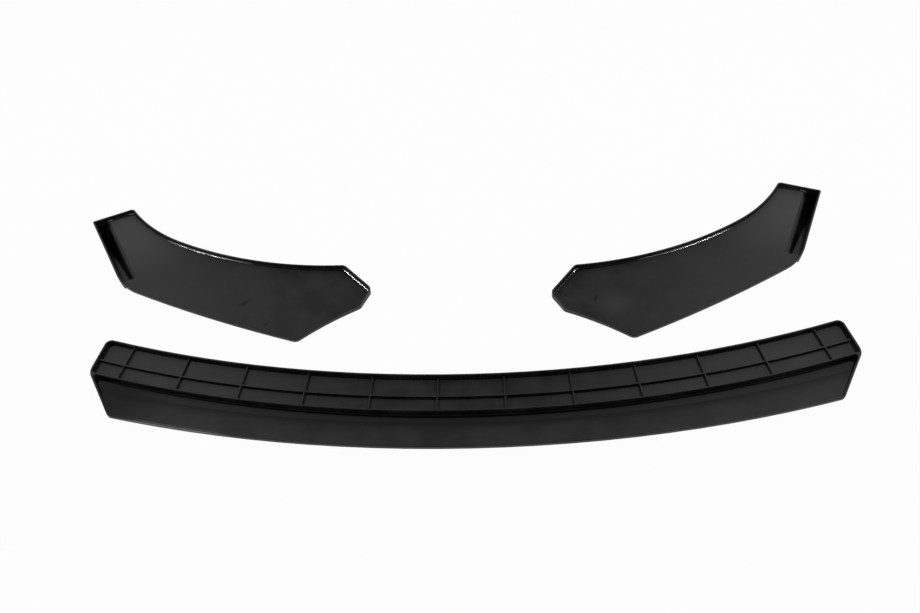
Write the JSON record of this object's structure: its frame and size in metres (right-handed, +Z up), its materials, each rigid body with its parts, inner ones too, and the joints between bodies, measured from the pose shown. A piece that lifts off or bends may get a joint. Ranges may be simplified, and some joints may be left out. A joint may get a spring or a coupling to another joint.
{
  "type": "front splitter lip",
  "caption": "Car front splitter lip laid out as loose mouldings, ribbed side up: a long curved centre tray with ribs across it, and swept end blades that roll into a hollow fin at the heel.",
  "frame": {"origin": "on the ground, in the middle of the flat strip under the centre section, on its middle line", "axes": "+X to the right along the centre section's length, +Y to the lip's rear, +Z up, to the ribbed side"},
  "size_m": [1.353, 0.5342, 0.0468],
  "materials": {
    "black_plastic": "satin moulded black, fine grain"
  },
  "bodies": {
    "root": {"centre_section": "black_plastic", "left_end_section": "black_plastic", "right_end_section": "black_plastic"}
  },
  "joints": []
}
